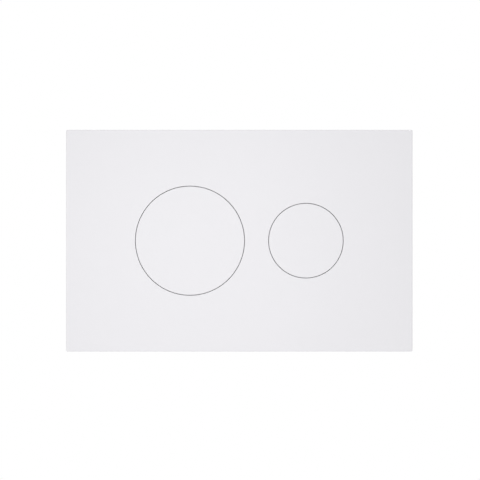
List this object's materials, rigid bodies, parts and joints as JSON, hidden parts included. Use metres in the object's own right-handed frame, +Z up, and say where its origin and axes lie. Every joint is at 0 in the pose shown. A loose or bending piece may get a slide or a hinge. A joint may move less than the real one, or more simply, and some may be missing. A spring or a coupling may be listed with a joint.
{
  "type": "flush button plate",
  "caption": "White rectangular flush plate for a concealed cistern, with a large and a small round push button that work rockers and push rods behind it.",
  "frame": {"origin": "centre of the plate on the face of the finished wall", "axes": "+X to the right as a user faces the plate, +Z up, +Y into the wall; the visible face looks along -Y"},
  "size_m": [0.25, 0.088, 0.16],
  "materials": {
    "plate_plastic": "moulded, polished face",
    "button_plastic": "moulded, polished face",
    "guide_plastic": "moulded, satin",
    "frame_plastic": "moulded, fine grain",
    "rocker_plastic": "moulded, satin",
    "rod_plastic": "moulded, satin",
    "nut_plastic": "moulded, satin",
    "buffer_rubber": "moulded, dull",
    "screw_steel": "zinc plated",
    "spring_steel": "drawn stainless wire",
    "shaft_steel": "ground",
    "stud_steel": "zinc plated",
    "clip_steel": "rolled spring strip"
  },
  "bodies": {
    "plate": {"cover_plate": "plate_plastic", "full_button_guide": "guide_plastic", "half_button_guide": "guide_plastic", "full_guide_screws": "screw_steel", "half_guide_screws": "screw_steel", "full_return_spring": "spring_steel", "half_return_spring": "spring_steel", "mounting_frame": "frame_plastic", "rocker_shaft": "shaft_steel", "left_fixing_stud": "stud_steel", "right_fixing_stud": "stud_steel", "left_stud_nut": "nut_plastic", "right_stud_nut": "nut_plastic", "upper_left_clip": "clip_steel", "upper_right_clip": "clip_steel", "lower_left_clip": "clip_steel", "lower_right_clip": "clip_steel"},
    "full_button": {"full_flush_button": "button_plastic", "full_press_buffer": "buffer_rubber"},
    "half_button": {"half_flush_button": "button_plastic", "half_press_buffer": "buffer_rubber"},
    "full_lever": {"full_rocker": "rocker_plastic", "full_push_rod": "rod_plastic", "full_rod_lock_nut": "nut_plastic"},
    "half_lever": {"half_rocker": "rocker_plastic", "half_push_rod": "rod_plastic", "half_rod_lock_nut": "nut_plastic"}
  },
  "joints": [
    {"name": "full_button_slide", "type": "slide", "parent": "plate", "child": "full_button", "axis": [0, 1, 0], "range_m": [0, 0.005], "stiffness_N_per_m": 500, "springref_m": -0.004, "deforming": ["full_return_spring"]},
    {"name": "half_button_slide", "type": "slide", "parent": "plate", "child": "half_button", "axis": [0, 1, 0], "range_m": [0, 0.005], "stiffness_N_per_m": 500, "springref_m": -0.004, "deforming": ["half_return_spring"]},
    {"name": "full_rocker_hinge", "type": "hinge", "parent": "plate", "child": "full_lever", "pos_m": [0, 0.0063, -0.044], "axis": [-1, 0, 0], "range_deg": [0, 6.6]},
    {"name": "half_rocker_hinge", "type": "hinge", "parent": "plate", "child": "half_lever", "pos_m": [0, 0.0063, -0.044], "axis": [-1, 0, 0], "range_deg": [0, 6.6]}
  ],
  "couplings": [
    {"joint": "full_rocker_hinge", "follows": "full_button_slide", "rad_per_m": 22.727},
    {"joint": "half_rocker_hinge", "follows": "half_button_slide", "rad_per_m": 22.727}
  ]
}
